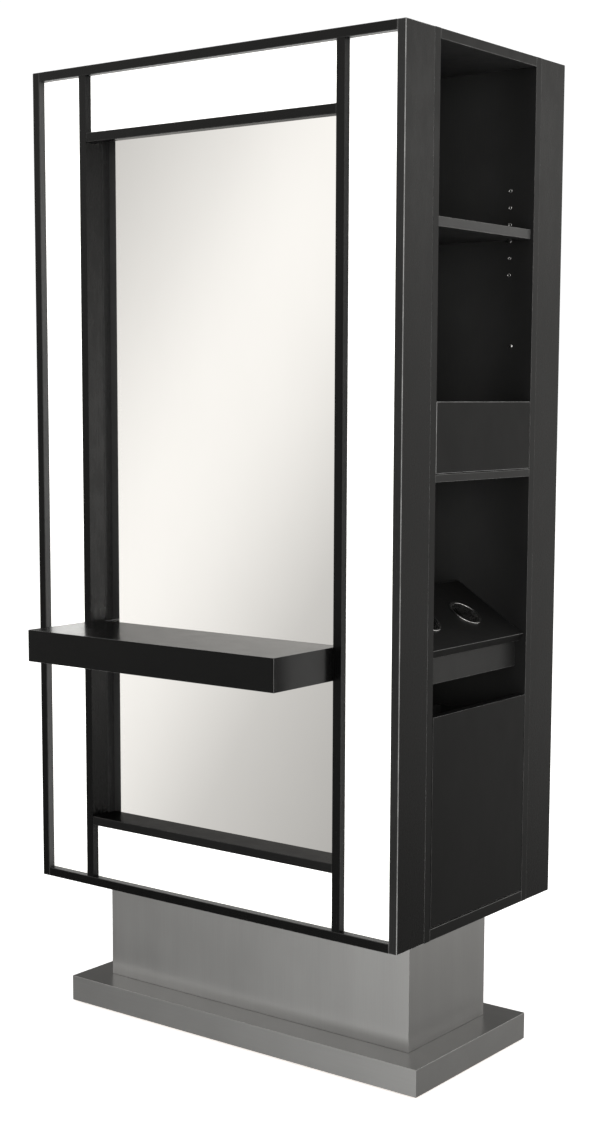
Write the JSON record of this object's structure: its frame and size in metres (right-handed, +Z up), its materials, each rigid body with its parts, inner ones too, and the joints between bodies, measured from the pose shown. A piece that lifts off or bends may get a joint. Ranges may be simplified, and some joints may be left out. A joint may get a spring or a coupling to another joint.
{
  "type": "salon styling station",
  "caption": "Free-standing double-sided hairdressing station: lit frame mirror, console shelf, open side niche with drawer, tool tray and tilting bin, on a steel-clad pedestal.",
  "frame": {"origin": "on the floor under the middle of the base", "axes": "+X towards the open niche side, +Y from the front mirror to the rear one, +Z up"},
  "size_m": [0.9, 0.902, 1.94],
  "materials": {
    "body_laminate": "satin black laminate on particle board",
    "console_laminate": "semi-gloss black laminate",
    "niche_laminate": "satin black laminate",
    "liner_board": "matt dark grey board",
    "backing_board": "raw particle board",
    "steel_skin": "satin brushed stainless",
    "mirror_glass": "silvered glass",
    "black_trim": "satin black",
    "opal_acrylic": "opal, lit from behind",
    "led_strip": "white strip",
    "chrome": "polished",
    "zinc_hardware": "zinc plated",
    "black_plastic": "fine texture",
    "socket_plastic": "satin white"
  },
  "bodies": {
    "station": {"adjustable_shelf": "niche_laminate", "base_core": "backing_board", "base_cover": "steel_skin", "base_glides": "black_plastic", "bin_pivots": "zinc_hardware", "cable_gland": "black_plastic", "carcass_bottom": "body_laminate", "carcass_front_wall": "body_laminate", "carcass_rear_wall": "body_laminate", "carcass_top": "body_laminate", "console_bolts": "zinc_hardware", "drawer_runners": "zinc_hardware", "fixed_shelf": "niche_laminate", "front_back_panel": "backing_board", "front_bottom_rail": "body_laminate", "front_console_bottom": "console_laminate", "front_console_shell": "console_laminate", "front_cross_lights": "opal_acrylic", "front_inner_rail_bottom": "body_laminate", "front_inner_rail_top": "body_laminate", "front_led_strips": "led_strip", "front_mirror": "mirror_glass", "front_mirror_trims": "black_trim", "front_mullions": "body_laminate", "front_side_lights": "opal_acrylic", "front_stile_left": "body_laminate", "front_stile_right": "body_laminate", "front_top_rail": "body_laminate", "led_driver": "socket_plastic", "niche_back": "niche_laminate", "pedestal_cladding": "steel_skin", "pedestal_column": "backing_board", "rear_back_panel": "backing_board", "rear_bottom_rail": "body_laminate", "rear_console_bottom": "console_laminate", "rear_console_shell": "console_laminate", "rear_cross_lights": "opal_acrylic", "rear_inner_rail_bottom": "body_laminate", "rear_inner_rail_top": "body_laminate", "rear_led_strips": "led_strip", "rear_mirror": "mirror_glass", "rear_mirror_trims": "black_trim", "rear_mullions": "body_laminate", "rear_side_lights": "opal_acrylic", "rear_stile_left": "body_laminate", "rear_stile_right": "body_laminate", "rear_top_rail": "body_laminate", "service_panel": "body_laminate", "shelf_pins": "zinc_hardware", "socket_block": "socket_plastic", "switch_housing": "black_plastic", "tool_rings": "chrome", "tool_tray": "niche_laminate", "tray_apron": "niche_laminate"},
    "drawer": {"drawer_front": "niche_laminate", "drawer_box": "liner_board"},
    "bin": {"bin_front": "niche_laminate", "bin_box": "liner_board"},
    "light_rocker": {"switch_rocker": "black_plastic"}
  },
  "joints": [
    {"name": "drawer_slide", "type": "slide", "parent": "station", "child": "drawer", "axis": [1, 0, 0], "range_m": [0, 0.27]},
    {"name": "bin_tilt", "type": "hinge", "parent": "station", "child": "bin", "pos_m": [0.441, 0, 0.3415], "axis": [0, 1, 0], "range_deg": [0, 35]},
    {"name": "light_switch", "type": "hinge", "parent": "station", "child": "light_rocker", "pos_m": [0.395, -0.157, 1.057], "axis": [-1, 0, 0], "range_deg": [0, 16]}
  ]
}
